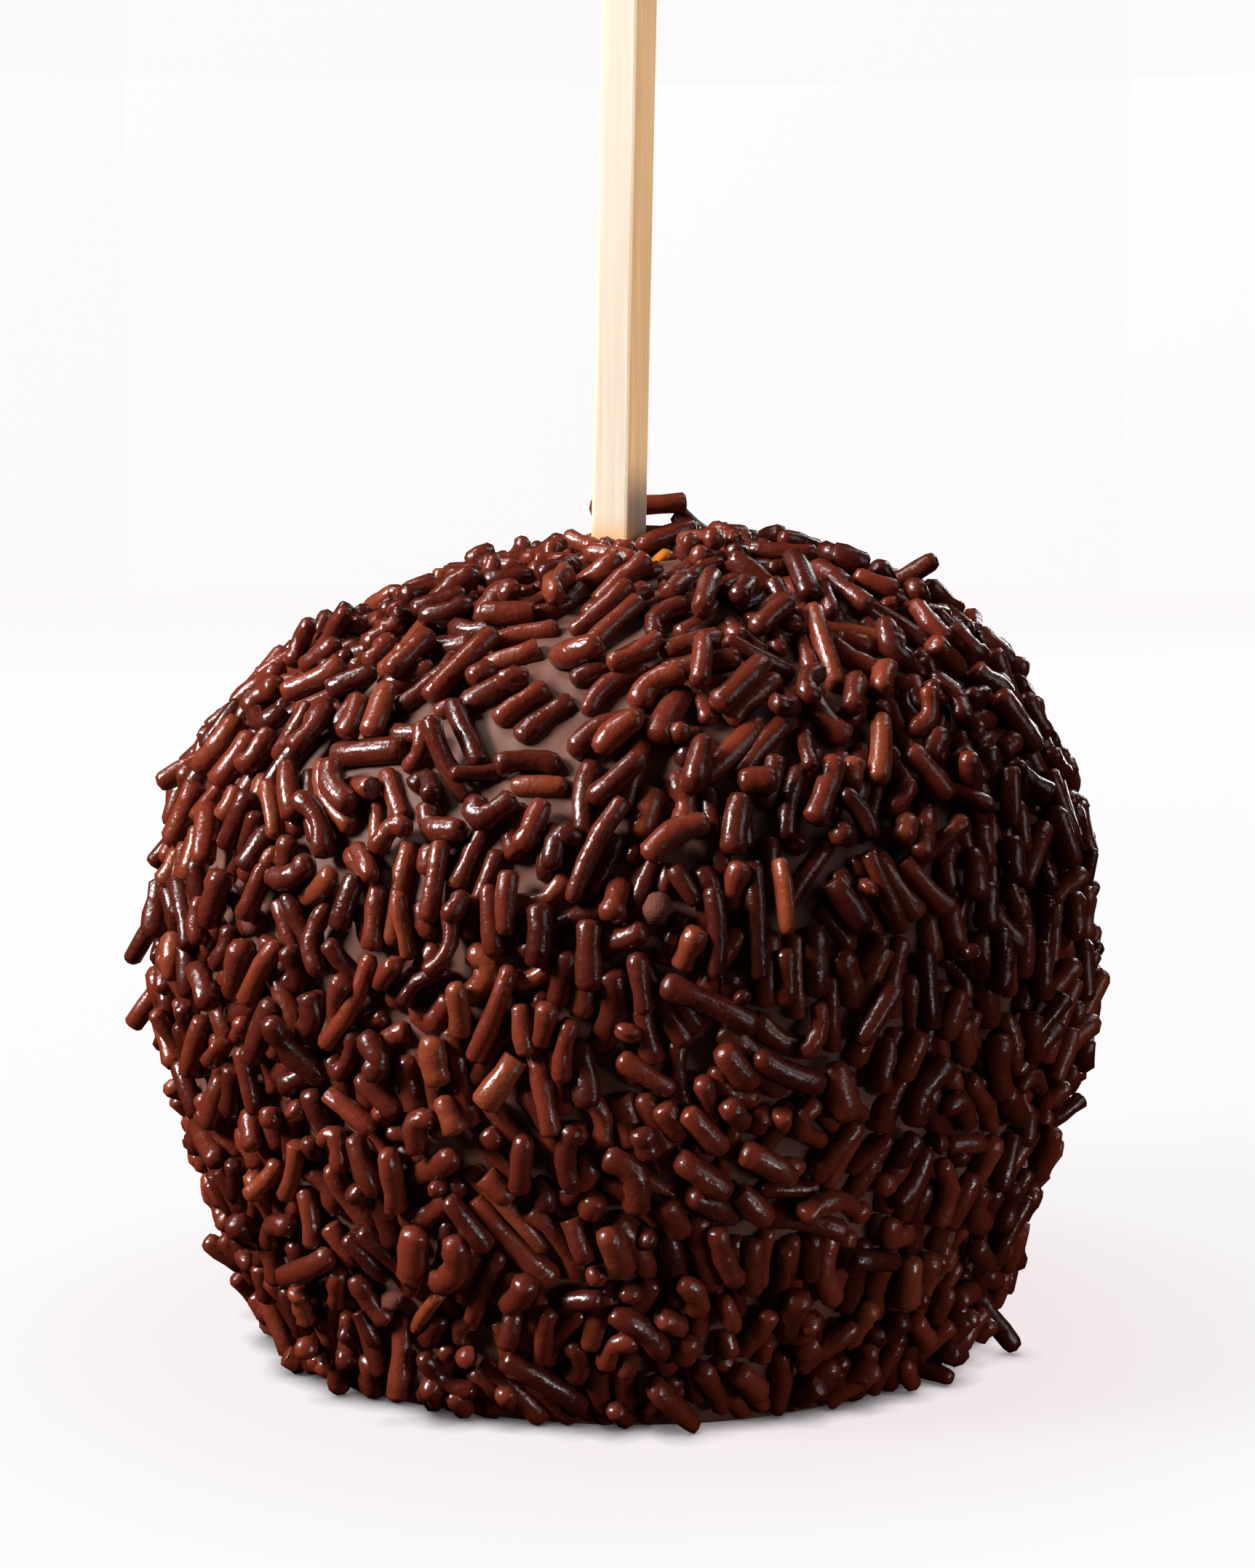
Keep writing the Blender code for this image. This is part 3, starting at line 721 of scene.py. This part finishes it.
# The wet coat crept up round each sprinkle, and set there as a small fillet.
FILLET_RISE = 0.3 * MM
FILLET_WIDTH = 0.6 * MM
FILLET_DEPTH = 1.6           # widths in from its foot, past which a point is deep inside a sprinkle
FILLET_LOWEST = 1 * MM       # above the floor
balls = bed.balls.reshape(-1, 3)
girths = np.repeat(bed.radii, BALLS)
tree = kdtree.KDTree(len(balls))
for index, ball in enumerate(balls):
    tree.insert(ball, index)
tree.balance()
vertices = coat.data.vertices
spots, normals = np.empty((2, 3 * len(vertices)))
vertices.foreach_get("co", spots)
vertices.foreach_get("normal", normals)
spots, normals = spots.reshape(-1, 3), normals.reshape(-1, 3)
nearest = np.array([tree.find(spot)[1:] for spot in spots])
nearness = 1 - (nearest[:, 1] - girths[nearest[:, 0].astype(int)]) / FILLET_WIDTH
wetted = (nearness > 0) & (nearness < FILLET_DEPTH) & (spots[:, 2] > FILLET_LOWEST)
rises = FILLET_RISE * np.clip(nearness, 0, 1) ** 2 * wetted
vertices.foreach_set("co", (spots + rises[:, None] * normals).ravel())
coat.data.update()

# ---------------------------------------------------------------- the stick
# A square birch stick with its long edges rounded, sawn off square at the ends. The wood is pale,
# with fine darker grain along it, and the foot of it is stained by the caramel that it stands in.
GRAIN_WIDTH = 0.5 * MM
GRAIN_LENGTH = 22 * MM
STAIN_FROM = CROWN_HEIGHT + 1.5 * MM   # where it starts to fade
STAIN_TO = CROWN_HEIGHT + 4.5 * MM


def birch():
    """Birch, planed and dry: cream, with fine lengthwise grain and a faint sheen."""
    finish, shader, place = new_finish("birch, planed")
    stretch = (1 / GRAIN_WIDTH, 1 / GRAIN_WIDTH, 1 / GRAIN_LENGTH)
    lengthwise = add(finish, "Mapping", {"Vector": place, "Scale": stretch})
    grain = add(finish, "TexNoise", {"Vector": lengthwise.outputs["Vector"], "Scale": 1, "Detail": 4})
    tint = add(finish, "ValToRGB", {"Fac": grain.outputs["Fac"]})
    tint.color_ramp.elements[0].position = 0.35
    tint.color_ramp.elements[0].color = linear(0xBBAD98)
    tint.color_ramp.elements[1].position = 0.65
    tint.color_ramp.elements[1].color = linear(0xC9BBA7)
    height = add(finish, "SeparateXYZ", {"Vector": place})
    stain = add(finish, "MapRange", {
        "Value": height.outputs["Z"], "From Min": STAIN_FROM, "From Max": STAIN_TO,
        "To Min": 0.8, "To Max": 0,
    })
    mixed = add(finish, "Mix", {"Factor": stain.outputs["Result"]}, data_type="RGBA")
    links = finish.node_tree.links
    links.new(tint.outputs["Color"], mixed.inputs["A"])
    mixed.inputs["B"].default_value = linear(0xCC8A2E)
    bump = add(finish, "Bump", {"Height": grain.outputs["Fac"], "Strength": 0.3, "Distance": 0.06 * MM})
    links.new(mixed.outputs["Result"], shader.inputs["Base Color"])
    links.new(bump.outputs["Normal"], shader.inputs["Normal"])
    shader.inputs["Roughness"].default_value = 0.55
    shader.inputs["Subsurface Weight"].default_value = 0.5
    shader.inputs["Subsurface Radius"].default_value = (1, 0.55, 0.3)
    shader.inputs["Subsurface Scale"].default_value = 3 * MM
    return finish


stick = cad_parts["wooden_stick"]
stick.data.materials.clear()
stick.data.materials.append(birch())

# ---------------------------------------------------------------- the studio
# A pale sweep under soft boxes. The key comes from the left, a little from the front, and the rest is
# dim, so that the right side falls off to near black. The camera stands where the photographer's did.
CAMERA_PLACE = (0.4 * MM, -266.4 * MM, 80.0 * MM)
CAMERA_PITCH = math.radians(5.71)
LENS = 63.15                 # millimetres, as the sensor's width
SENSOR = 36
STICK_LIGHT_AZIMUTH = math.radians(336)
STICK_LIGHT_AWAY = 0.5
STICK_LIGHT_HEIGHT = 0.125
STICK_LIGHT_WIDTH = math.radians(10.4)


def put(name, data, place, azimuth, pitch):
    """An object that looks along the compass direction azimuth, and down by pitch."""
    made = bpy.data.objects.new(name, data)
    made.location = place
    made.rotation_euler = (math.pi / 2 - pitch, 0, azimuth)
    bpy.context.scene.collection.objects.link(made)
    return made


def camera():
    """The photograph's view: level with the crown, and tilted down a little."""
    data = bpy.data.cameras.new("camera")
    data.lens = LENS
    data.sensor_width = SENSOR
    bpy.context.scene.camera = put("camera", data, CAMERA_PLACE, 0, CAMERA_PITCH)


def area_light(name, azimuth, elevation, distance, size, watts, aim=WAIST_HEIGHT, spread=180):
    """A soft box, at a distance from the point on the fruit's axis that it is aimed at."""
    data = bpy.data.lights.new(name, "AREA")
    data.shape = "RECTANGLE"
    data.size, data.size_y = size
    data.energy = watts
    data.spread = math.radians(spread)
    azimuth, elevation = math.radians(azimuth), math.radians(elevation)
    across = distance * math.cos(elevation)
    height = aim + distance * math.sin(elevation)
    place = (across * math.cos(azimuth), across * math.sin(azimuth), height)
    put(name, data, place, azimuth + math.pi / 2, elevation)


def stick_light():
    """A narrow warm spotlight on the stick alone, from the right."""
    data = bpy.data.lights.new("stick", "SPOT")
    data.spot_size = STICK_LIGHT_WIDTH
    data.spot_blend = 0.25
    data.energy = 9.3
    data.color = (1, 0.66, 0.34)
    x = STICK_LIGHT_AWAY * math.cos(STICK_LIGHT_AZIMUTH)
    y = STICK_LIGHT_AWAY * math.sin(STICK_LIGHT_AZIMUTH)
    put("stick", data, (x, y, STICK_LIGHT_HEIGHT), STICK_LIGHT_AZIMUTH + math.pi / 2, 0)


camera()
area_light("key", 201, 31, 1.5, (0.45, 0.45), 53)
area_light("rim", 35, 48, 1.5, (0.3, 0.7), 2.6)
area_light("edge", 62, 15, 1.5, (0.08, 0.9), 4)
area_light("top", 176, 60, 1.2, (0.3, 0.3), 7)
area_light("side", 336, 20, 1.5, (0.8, 0.8), 4)
area_light("fill", 318, 1, 0.22, (0.2, 0.012), 0.01, aim=10 * MM, spread=26)
stick_light()

GLOW_BELOW, GLOW_ABOVE = 0.07, 0.035   # of the room, below the horizon and above it
world = bpy.data.worlds.new("world")
world.use_nodes = True
way = add(world, "TexCoord", {})
upward = add(world, "SeparateXYZ", {"Vector": way.outputs["Generated"]})
glow = add(world, "MapRange", {
    "Value": upward.outputs["Z"], "From Min": -0.1, "From Max": 0.1,
    "To Min": GLOW_BELOW, "To Max": GLOW_ABOVE,
})
world.node_tree.links.new(glow.outputs["Result"], world.node_tree.nodes["Background"].inputs["Strength"])
world.node_tree.nodes["Background"].inputs["Color"].default_value = (1, 0.97, 0.97, 1)
bpy.context.scene.world = world
world.cycles_visibility.glossy = False

# The sheet that it stands on lights up by itself so that it stays pale. Its glow is painted darker and pinker
# close to the fruit, a painted shadow of it, and darker still at the foot, a painted contact shadow.
SHADE_REACH = 2.5 * MM
# Glow colours by distance from the fruit's axis in metres. The nearest stops are darker and pinker: a painted
# shadow of the fruit.
SHEET_GLOW_AND_PAINTED_SHADOW = {
    0.042: (0.87, 0.785, 0.795, 1),
    0.07: (0.905, 0.875, 0.882, 1),
    0.5: (0.945, 0.915, 0.92, 1),
    1: (0.963, 0.93, 0.938, 1),
}
floor_mesh = bpy.data.meshes.new("floor")
bm = bmesh.new()
bmesh.ops.create_grid(bm, x_segments=1, y_segments=1, size=3)
bm.to_mesh(floor_mesh)
bm.free()
floor = bpy.data.objects.new("floor", floor_mesh)
floor.location.z = -0.02 * MM   # just clear of the foot
bpy.context.scene.collection.objects.link(floor)
sheet, shader, place = new_finish("floor")
away = add(sheet, "VectorMath", {"Vector": place}, operation="LENGTH")
# The glow's colour by distance, darkened near the fruit as a painted shadow.
far = add(sheet, "ValToRGB", {"Fac": away.outputs["Value"]})
steps = far.color_ramp.elements
while len(steps) < len(SHEET_GLOW_AND_PAINTED_SHADOW):
    steps.new(0.5)
for step, (distance, colour) in zip(steps, SHEET_GLOW_AND_PAINTED_SHADOW.items()):
    step.position = distance
    step.color = colour
# Ambient occlusion multiplied into the glow paints a contact shadow round the foot.
close = add(sheet, "AmbientOcclusion", {"Distance": SHADE_REACH}, samples=8)
shade = add(
    sheet, "Mix", {"Factor": 1.0, "A": far.outputs["Color"], "B": close.outputs["Color"]},
    data_type="RGBA", blend_type="MULTIPLY",
)
sheet.node_tree.links.new(shade.outputs["Result"], shader.inputs["Emission Color"])
shader.inputs["Emission Strength"].default_value = 1
shader.inputs["Base Color"].default_value = (0.035, 0.05, 0.05, 1)
shader.inputs["Specular IOR Level"].default_value = 0
floor_mesh.materials.append(sheet)
floor.visible_diffuse = False
floor.visible_glossy = False

# The backdrop is a pale dome all round, seen by the camera alone.
dome_mesh = bpy.data.meshes.new("backdrop")
bm = bmesh.new()
bmesh.ops.create_uvsphere(bm, u_segments=32, v_segments=16, radius=2.5)
bm.to_mesh(dome_mesh)
bm.free()
dome = bpy.data.objects.new("backdrop", dome_mesh)
bpy.context.scene.collection.objects.link(dome)
backing, shader, _ = new_finish("backdrop")
shader.inputs["Base Color"].default_value = (0, 0, 0, 1)
shader.inputs["Emission Color"].default_value = linear(0xFBF8F9)
shader.inputs["Emission Strength"].default_value = 1
dome_mesh.materials.append(backing)
dome.visible_diffuse = False
dome.visible_glossy = False
dome.visible_shadow = False
dome.visible_transmission = False

bpy.context.scene.view_settings.view_transform = "Standard"
